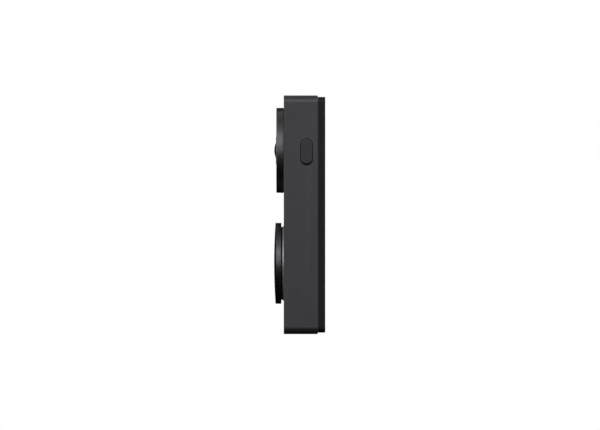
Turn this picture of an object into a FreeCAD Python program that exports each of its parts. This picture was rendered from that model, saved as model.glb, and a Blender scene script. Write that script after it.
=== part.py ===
"""A battery video doorbell: wall plate, case, round camera unit, lit bell button and side key.

The origin is the centre of the wall plate's rear face. +Z is up, the front faces -Y and the side
key is on +X. A depth is a distance in front of the wall, so a depth of d lies at y = -d.
"""
import FreeCAD, Part
import math
import os
from types import SimpleNamespace

import Sketcher
from FreeCAD import Placement, Rotation, Vector

# Driving dimensions in millimetres. Heights are measured from the middle of the case.
DRIVING_SIZES = {
    "case_width": 62.0,
    "case_height": 138.0,
    "case_depth": 19.8,
    "case_corner": 4.1,
    "case_gap": 0.2,
    "front_wall": 2.0,
    "side_wall": 2.6,
    "plate_depth": 4.0,
    "plate_inset": 0.85,
    "cover_thickness": 1.8,
    "seal_thickness": 0.5,
    "screw_height": 52.0,
    "wall_screw_radius": 2.25,
    "wiring_height": 25.0,
    "wiring_width": 26.0,
    "wiring_opening": 16.0,
    "hook_width": 6.0,
    "upper_hook_side": 10.5,
    "upper_hook_height": 57.0,
    "lower_hook_side": 18.0,
    "lower_hook_height": -50.0,
    "hook_reach": 5.5,
    "lift_travel": 6.0,
    "latch_height": -61.0,
    "latch_travel": 1.5,
    "camera_height": 37.4,
    "bezel_radius": 24.75,
    "bezel_front_radius": 24.6,
    "bezel_protrusion": 4.33,
    "window_radius": 22.9,
    "lens_trim_radius": 7.9,
    "lens_dome_radius": 4.65,
    "lens_peak": 5.54,
    "lens_sag": 1.03,
    "button_height": -28.2,
    "button_radius": 23.5,
    "button_rear": 1.4,
    "button_edge": 4.89,
    "button_peak": 5.62,
    "button_travel": 0.3,
    "ring_radius": 21.6,
    "ring_bore": 19.6,
    "ring_protrusion": 0.98,
    "key_height": 36.55,
    "key_depth": 13.18,
    "key_width": 6.8,
    "key_length": 15.2,
    "key_protrusion": 0.35,
    "key_gap": 0.2,
    "board_thickness": 1.2,
    "board_rear": 14.6,
}

MACHINE_SCREW = {"shaft": 0.9, "head": 1.8, "head_height": 1.1}


class Size:
    """A length that carries its number and the spreadsheet expression that gives it."""

    def __init__(self, number, text):
        self.number = float(number)
        self.text = text

    def __add__(self, other):
        other = as_size(other)
        return Size(self.number + other.number, f"({self.text} + {other.text})")

    def __radd__(self, other):
        return as_size(other) + self

    def __sub__(self, other):
        other = as_size(other)
        return Size(self.number - other.number, f"({self.text} - {other.text})")

    def __rsub__(self, other):
        return as_size(other) - self

    def __mul__(self, other):
        other = as_size(other)
        return Size(self.number * other.number, f"({self.text} * {other.text})")

    def __rmul__(self, other):
        return self * other

    def __truediv__(self, other):
        other = as_size(other)
        return Size(self.number / other.number, f"({self.text} / {other.text})")

    def __neg__(self):
        return Size(-self.number, f"(0 - {self.text})")


def as_size(value):
    """The value itself if it is a Size, or a Size for a plain number."""
    if isinstance(value, Size):
        return value
    return Size(value, f"({float(value):.6f})")


def bind(thing, path, value):
    """Drive one property or constraint of an object from the sheet."""
    thing.setExpression(path, as_size(value).text)


doc = FreeCAD.newDocument("video_doorbell")
SUB_PARTS = []


def fill_sheet():
    """Write the driving dimensions into a sheet, and return them as Sizes by name."""
    sheet = doc.addObject("Spreadsheet::Sheet", "dims")
    sizes = {}
    for row, (name, number) in enumerate(DRIVING_SIZES.items(), start=1):
        sheet.set(f"A{row}", name)
        sheet.set(f"B{row}", str(number))
        sheet.setAlias(f"B{row}", name)
        sizes[name] = Size(number, f"dims.{name}")
    doc.recompute()
    return SimpleNamespace(**sizes)


dims = fill_sheet()

# Depths in front of the wall that several pieces share.
SHELL_REAR = dims.plate_depth + dims.case_gap
SHELL_FRONT = SHELL_REAR + dims.case_depth
INNER_FRONT = SHELL_FRONT - dims.front_wall
COVER_FRONT = SHELL_REAR + dims.cover_thickness
SEAL_FRONT = COVER_FRONT + dims.seal_thickness
BOARD_FRONT = dims.board_rear + dims.board_thickness
WINDOW_REAR = SHELL_FRONT + 2.7
DISC_FRONT = SHELL_FRONT + dims.bezel_protrusion
CAMERA_BOARD_REAR = COVER_FRONT + 3.8
CAMERA_BOARD_FRONT = CAMERA_BOARD_REAR + 1.0
LED_BOARD_REAR = SHELL_FRONT - 1.3
LED_BOARD_FRONT = LED_BOARD_REAR + 1.0
RETAINER_REAR = SHELL_FRONT - 4.8
RETAINER_FRONT = RETAINER_REAR + 1.2
TONGUE_OUTER = dims.ring_radius - 0.5
TONGUE_INNER = TONGUE_OUTER - 0.8
TONGUE_REACH = as_size(0.5)
KEY_DEPTH = SHELL_FRONT - dims.key_depth
WIRING_FLOOR = as_size(7.6)
WIRING_BOX_FRONT = WIRING_FLOOR + 0.9
LATCH_STOP = as_size(12.0)
BARREL_REAR = as_size(14.6)
BARREL_STEP = as_size(23.9)
CASE_SIDE = dims.case_width / 2
INNER_SIDE = CASE_SIDE - dims.side_wall
INNER_TOP = dims.case_height / 2 - dims.side_wall

COVER_SCREW_PLACES = [(side * (CASE_SIDE - 4.8), level * (dims.case_height / 2 - 4.8))
                      for side in (-1, 1) for level in (-1, 0, 1)]
CAMERA_POST_PLACES = [(side * 20.5, dims.camera_height + level * 13.5)
                      for side in (-1, 1) for level in (-1, 1)]
BOARD_POST_PLACES = [(side * 19.5, level) for side in (-1, 1) for level in (-52.0, 11.5)]
HOOK_PLACES = [(turn * side, level) for turn in (-1, 1)
               for side, level in ((dims.upper_hook_side, dims.upper_hook_height),
                                   (dims.lower_hook_side, dims.lower_hook_height))]


class Outline:
    """A sketch on one origin plane of a body, with every point bound to the sheet."""

    def __init__(self, body, role, level):
        self.sketch = body.newObject("Sketcher::SketchObject", body.Name + "_sketch")
        plane = next(item for item in body.Origin.OriginFeatures if item.Role == role)
        self.sketch.AttachmentSupport = [(plane, "")]
        self.sketch.MapMode = "FlatFace"
        bind(self.sketch, "AttachmentOffset.Base.z", level)

    def constrain(self, kind, *arguments):
        """Add one constraint whose last argument is a Size, and bind it to the sheet."""
        *places, value = arguments
        value = as_size(value)
        number = self.sketch.addConstraint(Sketcher.Constraint(kind, *places, value.number))
        bind(self.sketch, f"Constraints[{number}]", value)

    def pin(self, geometry, point, x, y):
        """Fix a point at x, y from the sketch's origin."""
        self.constrain("DistanceX", -1, 1, geometry, point, x)
        self.constrain("DistanceY", -1, 1, geometry, point, y)

    def join(self, kind, first, first_end, second, second_end):
        """Join two ends, by Coincident or Tangent."""
        self.sketch.addConstraint(
            Sketcher.Constraint(kind, first, first_end, second, second_end))

    def polygon(self, points):
        """A closed outline. A point (x, y, radius) starts an arc, anticlockwise if positive."""
        corners = [(as_size(p[0]), as_size(p[1]), p[2] if len(p) > 2 else None) for p in points]
        ends = []
        for index, (x, y, bulge) in enumerate(corners):
            next_x, next_y, _ = corners[(index + 1) % len(corners)]
            start = Vector(x.number, y.number, 0)
            end = Vector(next_x.number, next_y.number, 0)
            if bulge is None:
                geometry = self.sketch.addGeometry(Part.LineSegment(start, end), False)
                first, last = 1, 2
            else:
                geometry = self.add_arc(start, end, as_size(bulge))
                first, last = (1, 2) if as_size(bulge).number > 0 else (2, 1)
            self.pin(geometry, first, x, y)
            ends.append((geometry, first, last))
        for index, (geometry, _, last) in enumerate(ends):
            following, first, _ = ends[(index + 1) % len(ends)]
            self.join("Coincident", geometry, last, following, first)

    def add_arc(self, start, end, bulge):
        """An arc of the given radius between two points."""
        radius = abs(bulge.number)
        turn = 1 if bulge.number > 0 else -1
        chord = end - start
        across = Vector(-chord.y, chord.x, 0).normalize()
        offset = math.sqrt(max(radius ** 2 - (chord.Length / 2) ** 2, 0.0))
        centre = start + chord * 0.5 + across * (turn * offset)
        low, high = (start, end) if turn > 0 else (end, start)
        angles = [math.atan2(p.y - centre.y, p.x - centre.x) for p in (low, high)]
        if angles[1] < angles[0]:
            angles[1] += 2 * math.pi
        circle = Part.Circle(centre, Vector(0, 0, 1), radius)
        geometry = self.sketch.addGeometry(Part.ArcOfCircle(circle, *angles), False)
        self.constrain("Radius", geometry, bulge if turn > 0 else -bulge)
        return geometry

    def rectangle(self, x, y, width, height, corner=None):
        """A rectangle about x, y, with rounded corners if a corner radius is given."""
        x, y, width, height = (as_size(value) for value in (x, y, width, height))
        left, right = x - width / 2, x + width / 2
        low, high = y - height / 2, y + height / 2
        if corner is None:
            self.polygon([(left, low), (right, low), (right, high), (left, high)])
            return
        self.polygon([
            (left + corner, low), (right - corner, low, corner),
            (right, low + corner), (right, high - corner, corner),
            (right - corner, high), (left + corner, high, corner),
            (left, high - corner), (left, low + corner, corner)])

    def pill(self, x, y, width, height):
        """A slot with round ends about x, y, whichever way it is longer."""
        x, y, width, height = (as_size(value) for value in (x, y, width, height))
        if width.number < height.number:
            end, run = width / 2, (height - width) / 2
            self.polygon([(x + end, y - run), (x + end, y + run, end + 0.00001),
                          (x - end, y + run), (x - end, y - run, end + 0.00001)])
        else:
            end, run = height / 2, (width - height) / 2
            self.polygon([(x - run, y - end), (x + run, y - end, end + 0.00001),
                          (x + run, y + end), (x - run, y + end, end + 0.00001)])

    def circle(self, x, y, radius):
        """A circle about x, y."""
        x, y, radius = as_size(x), as_size(y), as_size(radius)
        centre = Vector(x.number, y.number, 0)
        circle = Part.Circle(centre, Vector(0, 0, 1), radius.number)
        geometry = self.sketch.addGeometry(circle, False)
        self.pin(geometry, 3, x, y)
        self.constrain("Radius", geometry, radius)


def new_body(name, kept=True):
    """An empty body. A kept body is a sub-part of its own."""
    body = doc.addObject("PartDesign::Body", name)
    if kept:
        SUB_PARTS.append(body)
    return body


def extrude(body, kind, role, draw, start, end):
    """Pad or pocket an outline from start to end along the normal of its plane."""
    before = body.Shape.Volume if body.Tip else 0.0
    outline = Outline(body, role, start)
    draw(outline)
    feature = body.newObject("PartDesign::" + kind, body.Name + "_" + kind.lower())
    feature.Profile = outline.sketch
    bind(feature, "Length", as_size(end) - start)
    feature.Reversed = kind == "Pocket"
    doc.recompute()
    if (kind == "Pocket") != (feature.Shape.Volume < before):
        raise RuntimeError(f"{feature.Name} changes nothing")
    return feature


def pad(body, draw, rear, front):
    """Add material between two depths in front of the wall."""
    return extrude(body, "Pad", "XZ_Plane", draw, rear, front)


def cut(body, draw, rear, front):
    """Remove material between two depths in front of the wall."""
    return extrude(body, "Pocket", "XZ_Plane", draw, rear, front)


def plate(name, draw, rear, front, kept=True):
    """A body that is one outline, padded between two depths."""
    body = new_body(name, kept)
    pad(body, draw, rear, front)
    return body


def flat_edges(shape, axis, level):
    """Names of the edges that lie wholly at one level along an axis."""
    names = []
    for number, edge in enumerate(shape.Edges, start=1):
        box = edge.BoundBox
        low, high = getattr(box, axis + "Min"), getattr(box, axis + "Max")
        if abs(low - level) < 1e-4 and abs(high - level) < 1e-4:
            names.append(f"Edge{number}")
    return names


def soften(body, axis, level, radius, kind="Fillet"):
    """Round or chamfer every edge of the body at one level along an axis."""
    base = body.Tip
    feature = body.newObject("PartDesign::" + kind, body.Name + "_" + kind.lower())
    names = flat_edges(base.Shape, axis, as_size(level).number)
    feature.Base = (base, names)
    bind(feature, "Radius" if kind == "Fillet" else "Size", radius)
    doc.recompute()


def place(thing, x, depth, height):
    """Put an object x to the side, depth in front of the wall and height above the middle."""
    bind(thing, "Placement.Base.x", x)
    bind(thing, "Placement.Base.y", -as_size(depth))
    bind(thing, "Placement.Base.z", height)


def turned(name, points, x=0.0, height=0.0, kept=True):
    """A body turned about a line along Y, from points of (radius, depth) and arc radii."""
    body = new_body(name, kept)
    outline = Outline(body, "XY_Plane", 0.0)
    outline.polygon([(p[0], -as_size(p[1]), *p[2:]) for p in points])
    feature = body.newObject("PartDesign::Revolution", name + "_turned")
    feature.Profile = outline.sketch
    feature.ReferenceAxis = (outline.sketch, ["V_Axis"])
    feature.Angle = 360.0
    place(body, x, 0.0, height)
    doc.recompute()
    return body


def block(name, width, rear, front, height, x, middle, kept=True):
    """A box of a width and height about x and middle, between two depths."""
    box = doc.addObject("Part::Box", name)
    bind(box, "Length", width)
    bind(box, "Width", as_size(front) - rear)
    bind(box, "Height", height)
    place(box, as_size(x) - as_size(width) / 2, front, as_size(middle) - as_size(height) / 2)
    if kept:
        SUB_PARTS.append(box)
    return box


def group(name, piece, places):
    """Copies of one piece at several (x, depth, height), kept together as one sub-part."""
    links = []
    for number, (x, depth, height) in enumerate(places, start=1):
        link = doc.addObject("App::Link", f"{name}_{number}")
        link.setLink(piece)
        place(link, x, depth, height)
        links.append(link)
    compound = doc.addObject("Part::Compound", name)
    compound.Links = links
    SUB_PARTS.append(compound)
    return compound


def joined(name, pieces):
    """Different pieces kept together as one sub-part of separate solids."""
    compound = doc.addObject("Part::Compound", name)
    compound.Links = pieces
    SUB_PARTS.append(compound)
    return compound


def circles(places, radius):
    """An outline of equal circles."""
    def draw(outline):
        for x, height in places:
            outline.circle(x, height, radius)
    return draw


def rounded(x, height, width, tall, corner=None):
    """An outline of one rectangle."""
    return lambda outline: outline.rectangle(x, height, width, tall, corner)


def washer(outer, inner):
    """An outline of two circles about the origin."""
    def draw(outline):
        outline.circle(0.0, 0.0, outer)
        outline.circle(0.0, 0.0, inner)
    return draw


def frame(outer, inner):
    """An outline of one rectangle inside another."""
    def draw(outline):
        outline.rectangle(*outer)
        outline.rectangle(*inner)
    return draw


def dome_radius(edge_radius, sag):
    """The sphere radius of a cap that rises by its sag over its edge's radius."""
    return (edge_radius * edge_radius + sag * sag) / (sag * 2)


def screw(name, length):
    """A cross-head screw driven forwards, with its head's seat at the origin."""
    shaft, head, tall = (as_size(MACHINE_SCREW[key]) for key in ("shaft", "head", "head_height"))
    body = turned(name, [
        (0.0, -tall), (head - 0.4, -tall), (head, -tall * 0.5),
        (head, 0.0), (shaft, 0.0), (shaft, length), (0.0, length)], kept=False)
    recess = 0.6

    def cross(outline):
        arm = 0.25
        reach = 1.0
        outline.polygon([(arm, arm), (reach, arm), (reach, -arm), (arm, -arm), (arm, -reach),
                         (-arm, -reach), (-arm, -arm), (-reach, -arm), (-reach, arm),
                         (-arm, arm), (-arm, reach), (arm, reach)])
    cut(body, cross, -tall - recess, -tall + recess)
    return body


# The wall side

def make_wall_plate():
    """The plate that is screwed to the wall, with its wiring window, hooks and latch ramp."""
    body = new_body("wall_plate")
    width = dims.case_width - dims.plate_inset * 2
    height = dims.case_height - dims.plate_inset * 2
    pad(body, rounded(0.0, 0.0, width, height, dims.case_corner - dims.plate_inset),
        0.0, dims.plate_depth)
    soften(body, "Y", 0.0, 0.5)
    cut(body, rounded(0.0, dims.wiring_height, dims.wiring_width, dims.wiring_opening, 3.0),
        0.0, dims.plate_depth)
    screws = [(0.0, dims.screw_height), (0.0, -dims.screw_height)]
    cut(body, circles(screws, dims.wall_screw_radius), 0.0, dims.plate_depth)
    cut(body, circles(screws, 4.6), dims.plate_depth - 2.2, dims.plate_depth)

    def hollows(outline):
        for x in (-21.0, 21.0):
            for middle in (-44.0, 0.0, 44.0):
                outline.rectangle(x, middle, 12.0, 34.0, 2.0)
    cut(body, hollows, 0.0, 1.4)
    add_latch_ramp(body)
    for x, level in HOOK_PLACES:
        add_hook(body, x, level)


def add_latch_ramp(body):
    """The notch that takes the latch, with a ramp that draws the latch in as the case rises."""
    half = 3.4
    rear = dims.plate_depth - 1.6
    face = dims.plate_depth + 0.1
    low = dims.latch_height - 2.2
    high = dims.latch_height + 2.1
    rise = (face - rear) * (dims.lift_travel / dims.latch_travel)

    def ramp(outline):
        outline.polygon([(-face, low), (-rear, low), (-rear, high), (-face, high + rise)])
    extrude(body, "Pocket", "YZ_Plane", ramp, -half, half)


def add_hook(body, x, level):
    """A hook whose neck carries the case and whose lip stands up behind the rear cover."""
    lip_rear = COVER_FRONT + 0.3
    lip_front = lip_rear + 2.0
    root = dims.plate_depth - 0.5
    foot = level - 3.0
    tip = level + dims.hook_reach

    def profile(outline):
        outline.polygon([(-root, foot), (-root, level), (-lip_rear, level), (-lip_rear, tip),
                         (-lip_front + 0.6, tip), (-lip_front, tip - 0.6), (-lip_front, foot)])
    extrude(body, "Pad", "YZ_Plane", profile, x - dims.hook_width / 2, x + dims.hook_width / 2)


# The case

def make_front_case():
    """The housing: one moulding, open at the rear, with its bosses and openings."""
    body = new_body("front_case")
    pad(body, rounded(0.0, 0.0, dims.case_width, dims.case_height, dims.case_corner),
        SHELL_REAR, SHELL_FRONT)
    soften(body, "Y", -SHELL_REAR, 0.7)
    soften(body, "Y", -SHELL_FRONT, 0.35)
    cut(body, rounded(0.0, 0.0, dims.case_width - 3.2, dims.case_height - 3.2,
                      dims.case_corner - 1.6), SHELL_REAR, SEAL_FRONT)
    cut(body, rounded(0.0, 0.0, INNER_SIDE * 2, INNER_TOP * 2, dims.case_corner - dims.side_wall),
        SEAL_FRONT, INNER_FRONT)

    def front_openings(outline):
        outline.circle(0.0, dims.camera_height, 21.3)
        outline.circle(0.0, dims.button_height, dims.ring_radius + 0.1)
        outline.circle(0.0, 4.5, 0.6)
    cut(body, front_openings, INNER_FRONT, SHELL_FRONT)

    def key_slot(outline):
        outline.pill(-KEY_DEPTH, dims.key_height,
                     dims.key_width + dims.key_gap * 2, dims.key_length + dims.key_gap * 2)
    extrude(body, "Pocket", "YZ_Plane", key_slot, INNER_SIDE - 0.5, CASE_SIDE + 0.5)

    def speaker_slots(outline):
        for x in (-12.0, -8.0, -4.0, 0.0, 4.0, 8.0, 12.0):
            outline.pill(x, -(INNER_FRONT - 3.4), 1.3, 4.2)
    extrude(body, "Pocket", "XY_Plane", speaker_slots,
            -dims.case_height / 2 - 0.5, -INNER_TOP + 0.5)

    def release_hole(outline):
        outline.circle(0.0, -(COVER_FRONT + 3.2), 1.0)
    extrude(body, "Pocket", "XY_Plane", release_hole,
            -dims.case_height / 2 - 0.5, -INNER_TOP + 0.5)

    pad(body, circles(COVER_SCREW_PLACES, 2.6), SEAL_FRONT, INNER_FRONT + 0.2)
    cut(body, circles(COVER_SCREW_PLACES, MACHINE_SCREW["shaft"]), SEAL_FRONT, SEAL_FRONT + 7.0)
    pad(body, circles(CAMERA_POST_PLACES, 2.2), CAMERA_BOARD_FRONT, INNER_FRONT + 0.2)
    cut(body, circles(CAMERA_POST_PLACES, MACHINE_SCREW["shaft"]),
        CAMERA_BOARD_FRONT, CAMERA_BOARD_FRONT + 5.0)
    pad(body, circles(BOARD_POST_PLACES, 2.2), BOARD_FRONT, INNER_FRONT + 0.2)
    cut(body, circles(BOARD_POST_PLACES, MACHINE_SCREW["shaft"]),
        BOARD_FRONT, BOARD_FRONT + 4.0)

    def key_ribs(outline):
        for side in (-1, 1):
            outline.rectangle(25.0, dims.key_height + 9.3 * side, 8.2, 1.6)
    pad(body, key_ribs, 7.0, INNER_FRONT + 0.2)


def make_rear_cover():
    """The cover that closes the case, with blind pockets for the hooks, wires and latch."""
    body = new_body("rear_cover")
    width = dims.case_width - 3.4
    height = dims.case_height - 3.4
    pad(body, rounded(0.0, 0.0, width, height, dims.case_corner - 1.7), SHELL_REAR, COVER_FRONT)
    pocket_top = dims.hook_reach + 0.5
    pocket_low = -(dims.lift_travel + 3.4)
    pocket_wide = dims.hook_width + 1.0
    recess_front = COVER_FRONT + 2.7
    wall = 1.0

    def hook_boxes(outline):
        for x, level in HOOK_PLACES:
            middle = level + (pocket_top + pocket_low) / 2
            outline.rectangle(x, middle, pocket_wide + wall * 2,
                              pocket_top - pocket_low + wall * 2, 1.0)
    pad(body, hook_boxes, COVER_FRONT - 0.2, recess_front + wall)

    def wiring_box(outline):
        outline.rectangle(0.0, dims.wiring_height, 30.8, 19.2, 2.0)
    pad(body, wiring_box, COVER_FRONT - 0.2, WIRING_BOX_FRONT)

    def latch_box(outline):
        outline.rectangle(0.0, dims.latch_height, 10.6, 7.6, 1.0)
    pad(body, latch_box, COVER_FRONT - 0.2, LATCH_STOP)

    def hook_openings(outline):
        for x, level in HOOK_PLACES:
            middle = level + (as_size(0.15) + pocket_low) / 2
            outline.rectangle(x, middle, pocket_wide, as_size(0.15) - pocket_low)
    cut(body, hook_openings, SHELL_REAR, COVER_FRONT)

    def hook_hollows(outline):
        for x, level in HOOK_PLACES:
            middle = level + (pocket_top + pocket_low) / 2
            outline.rectangle(x, middle, pocket_wide, pocket_top - pocket_low)
    cut(body, hook_hollows, COVER_FRONT, recess_front)
    cut(body, rounded(0.0, dims.wiring_height, 28.8, 17.2, 2.0), SHELL_REAR, WIRING_FLOOR)
    cut(body, rounded(0.0, dims.latch_height, 6.6, 4.2), SHELL_REAR, COVER_FRONT)
    cut(body, rounded(0.0, dims.latch_height, 8.0, 5.0), COVER_FRONT, LATCH_STOP)

    def small_openings(outline):
        outline.pill(0.0, -49.0, 9.6, 3.8)
        for x, level in COVER_SCREW_PLACES:
            outline.circle(x, level, 1.1)
    cut(body, small_openings, SHELL_REAR, COVER_FRONT)
    cut(body, circles(COVER_SCREW_PLACES, 2.1), SHELL_REAR, SHELL_REAR + 1.1)
    cut(body, circles([(-7.0, dims.wiring_height), (7.0, dims.wiring_height)], 1.2),
        WIRING_FLOOR, WIRING_BOX_FRONT)


def make_cover_seal():
    """The rubber seal between the case and its rear cover."""
    outer = (0.0, 0.0, dims.case_width - 3.6, dims.case_height - 3.6, dims.case_corner - 1.8)
    inner = (0.0, 0.0, dims.case_width - 5.0, dims.case_height - 5.0, dims.case_corner - 2.5)
    plate("cover_seal", frame(outer, inner), COVER_FRONT, SEAL_FRONT)


def make_cover_screws():
    """The screws that hold the rear cover, driven from the rear."""
    piece = screw("cover_screw_piece", 6.5)
    group("cover_screws", piece, [(x, SHELL_REAR + 1.1, level) for x, level in COVER_SCREW_PLACES])


# The camera

def make_bezel():
    """The rim of the camera disc, which stands in the case's upper opening, and its gasket."""
    inner = dims.window_radius + 0.1
    seat = as_size(19.8)
    edge = 0.3
    turned("camera_bezel", [
        (seat, SHELL_FRONT - 1.8), (21.2, SHELL_FRONT - 1.8), (21.2, SHELL_FRONT + 0.2),
        (dims.bezel_radius, SHELL_FRONT + 0.2),
        (dims.bezel_front_radius, DISC_FRONT - edge, -edge),
        (dims.bezel_front_radius - edge, DISC_FRONT),
        (inner, DISC_FRONT), (inner, WINDOW_REAR), (seat, WINDOW_REAR)],
        height=dims.camera_height)
    turned("bezel_gasket", [
        (21.4, SHELL_FRONT), (24.2, SHELL_FRONT), (24.2, SHELL_FRONT + 0.2),
        (21.4, SHELL_FRONT + 0.2)], height=dims.camera_height)


def make_camera_window():
    """The dark front window, with a hole for the lens and one for the motion sensor's lens."""
    body = turned("camera_window", [
        (dims.lens_trim_radius + 0.05, WINDOW_REAR), (dims.window_radius, WINDOW_REAR),
        (dims.window_radius, DISC_FRONT - 0.2), (dims.window_radius - 0.15, DISC_FRONT - 0.05),
        (dims.lens_trim_radius + 0.05, DISC_FRONT - 0.05)], height=dims.camera_height)

    def slot(outline):
        outline.pill(0.0, -14.0, 17.2, 6.2)
    cut(body, slot, WINDOW_REAR, DISC_FRONT)


def make_pir():
    """The motion sensor and the pill-shaped lens in front of it."""
    lens = new_body("pir_lens")

    def outline_of_lens(outline):
        outline.pill(0.0, -14.0, 17.1, 6.1)
    pad(lens, outline_of_lens, WINDOW_REAR, DISC_FRONT - 0.05)
    place(lens, 0.0, 0.0, dims.camera_height)
    turned("pir_sensor", [
        (0.0, LED_BOARD_FRONT), (4.4, LED_BOARD_FRONT), (4.4, LED_BOARD_FRONT + 0.4),
        (4.0, LED_BOARD_FRONT + 0.4), (4.0, LED_BOARD_FRONT + 2.4), (0.0, LED_BOARD_FRONT + 2.4)],
        height=dims.camera_height - 14.0)


def make_lens():
    """The lens: raised trim ring, glass dome, barrel and the glass elements inside it."""
    dome_edge = SHELL_FRONT + dims.lens_peak - dims.lens_sag
    dome = dome_radius(dims.lens_dome_radius, dims.lens_sag)
    trim_front = DISC_FRONT + 0.26
    turned("lens_trim", [
        (dims.lens_dome_radius + 0.05, WINDOW_REAR), (dims.lens_trim_radius, WINDOW_REAR),
        (dims.lens_trim_radius, trim_front - 0.15), (dims.lens_trim_radius - 0.15, trim_front),
        (dims.lens_dome_radius + 0.4, trim_front),
        (dims.lens_dome_radius + 0.05, trim_front - 0.35)], height=dims.camera_height)
    turned("lens_dome", [
        (0.0, WINDOW_REAR + 1.2), (3.4, WINDOW_REAR + 0.4),
        (dims.lens_dome_radius, WINDOW_REAR + 0.4),
        (dims.lens_dome_radius, dome_edge, -dome),
        (0.0, SHELL_FRONT + dims.lens_peak)], height=dims.camera_height)
    turned("lens_barrel", [
        (4.4, BARREL_REAR), (5.98, BARREL_REAR), (5.98, BARREL_STEP), (7.0, BARREL_STEP),
        (7.0, WINDOW_REAR - 0.3),
        (4.4, WINDOW_REAR - 0.3)], height=dims.camera_height)
    element = turned("lens_element_piece", [
        (0.0, 0.0), (4.0, 0.5), (4.4, 0.5), (4.4, 1.3), (4.0, 1.3), (0.0, 1.9)], kept=False)
    group("lens_elements", element,
          [(0.0, depth, dims.camera_height) for depth in (15.2, 18.4, 21.6)])


def make_lens_holder():
    """The holder that stands on the camera board, with a slot in which the filter slides."""
    holder_front = CAMERA_BOARD_FRONT + 6.0
    body = new_body("lens_holder")
    pad(body, rounded(0.0, 0.0, 24.0, 18.0, 1.5), CAMERA_BOARD_FRONT, holder_front)
    pad(body, circles([(0.0, 0.0)], 7.4), holder_front, holder_front + 2.8)
    cut(body, rounded(0.0, 0.0, 12.0, 10.0), CAMERA_BOARD_FRONT, CAMERA_BOARD_FRONT + 2.3)
    cut(body, rounded(0.0, 0.0, 18.2, 8.0), CAMERA_BOARD_FRONT + 2.3, CAMERA_BOARD_FRONT + 3.6)
    cut(body, circles([(0.0, 0.0)], 6.0), CAMERA_BOARD_FRONT + 3.6, holder_front + 2.8)
    place(body, 0.0, 0.0, dims.camera_height)


def make_ir_filter():
    """The sliding frame with two panes: one cuts infrared by day, one is clear for the night."""
    rear = CAMERA_BOARD_FRONT + 2.6
    front = rear + 0.7
    frame_body = new_body("ir_cut_filter")
    pad(frame_body, rounded(2.6, 0.0, 12.4, 7.2, 0.5), rear, front)
    panes = [(0.0, 0.0, 5.0, 6.0), (5.2, 0.0, 5.0, 6.0)]

    def windows(outline):
        for pane in panes:
            outline.rectangle(*pane)
    cut(frame_body, windows, rear, front)
    place(frame_body, 0.0, 0.0, dims.camera_height)
    glass = [block(f"filter_pane_{number}", wide, rear, front, tall, x,
                   dims.camera_height + middle, kept=False)
             for number, (x, middle, wide, tall) in enumerate(panes, start=1)]
    joined("filter_panes", glass)
    block("ir_cut_coil", 5.6, CAMERA_BOARD_FRONT, CAMERA_BOARD_FRONT + 4.6, 7.0, -15.1,
          dims.camera_height)


def make_camera_boards():
    """The image sensor on its board, and the ring-shaped board of infrared lamps in front."""
    board = plate("camera_board", rounded(0.0, 0.0, 45.6, 31.6, 1.5),
                  CAMERA_BOARD_REAR, CAMERA_BOARD_FRONT)
    cut(board, rounded(24.0, dims.key_height - dims.camera_height, 12.4, 22.2),
        CAMERA_BOARD_REAR, CAMERA_BOARD_FRONT)
    posts = [(side * 20.5, level * 13.5) for side in (-1, 1) for level in (-1, 1)]
    cut(board, circles(posts, 1.1), CAMERA_BOARD_REAR, CAMERA_BOARD_FRONT)
    place(board, 0.0, 0.0, dims.camera_height)
    block("image_sensor", 8.4, CAMERA_BOARD_FRONT, CAMERA_BOARD_FRONT + 1.4, 7.2, 0.0,
          dims.camera_height)
    piece = screw("camera_board_screw_piece", 4.5)
    group("camera_board_screws", piece,
          [(x, CAMERA_BOARD_REAR, level) for x, level in CAMERA_POST_PLACES])
    ring = plate("ir_led_board", washer(19.7, 8.8), LED_BOARD_REAR, LED_BOARD_FRONT)
    place(ring, 0.0, 0.0, dims.camera_height)
    lamp = turned("ir_led_piece", [(0.0, 0.0), (1.5, 0.0), (1.5, 1.0, -1.3), (0.3, 2.2),
                                   (0.0, 2.2)], kept=False)
    lamp_circle = 14.4
    turns = [math.radians(angle) for angle in (-20, 20, 60, 120, 160, 200)]
    group("ir_leds", lamp, [(lamp_circle * math.cos(turn), LED_BOARD_FRONT,
                             dims.camera_height + lamp_circle * math.sin(turn))
                            for turn in turns])
    block("light_sensor", 2.4, LED_BOARD_FRONT, LED_BOARD_FRONT + 0.9, 2.0, 0.0,
          dims.camera_height + 14.4)


def make_camera_flex():
    """The flat flexible lead from the camera board to the top of the main board."""
    thick = 0.2
    rear, front = CAMERA_BOARD_FRONT, BOARD_FRONT

    def ribbon(outline):
        outline.polygon([
            (-rear, 25.5), (-rear, 18.6), (-front, 16.6), (-front, 12.2),
            (-front - thick, 12.2), (-front - thick, 16.8), (-rear - thick, 18.8),
            (-rear - thick, 25.5)])
    body = new_body("camera_flex")
    extrude(body, "Pad", "YZ_Plane", ribbon, -15.0, -6.0)


# The main board and what is on it

def make_main_board():
    """The main board, which hangs on four posts behind the bell button, and its screws."""
    board = plate("main_board", rounded(0.0, -19.75, 45.2, 69.5, 1.5),
                  dims.board_rear, BOARD_FRONT)
    cut(board, circles(BOARD_POST_PLACES, 1.1), dims.board_rear, BOARD_FRONT)
    piece = screw("board_screw_piece", 4.8)
    group("board_screws", piece, [(x, dims.board_rear, level) for x, level in BOARD_POST_PLACES])


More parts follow.
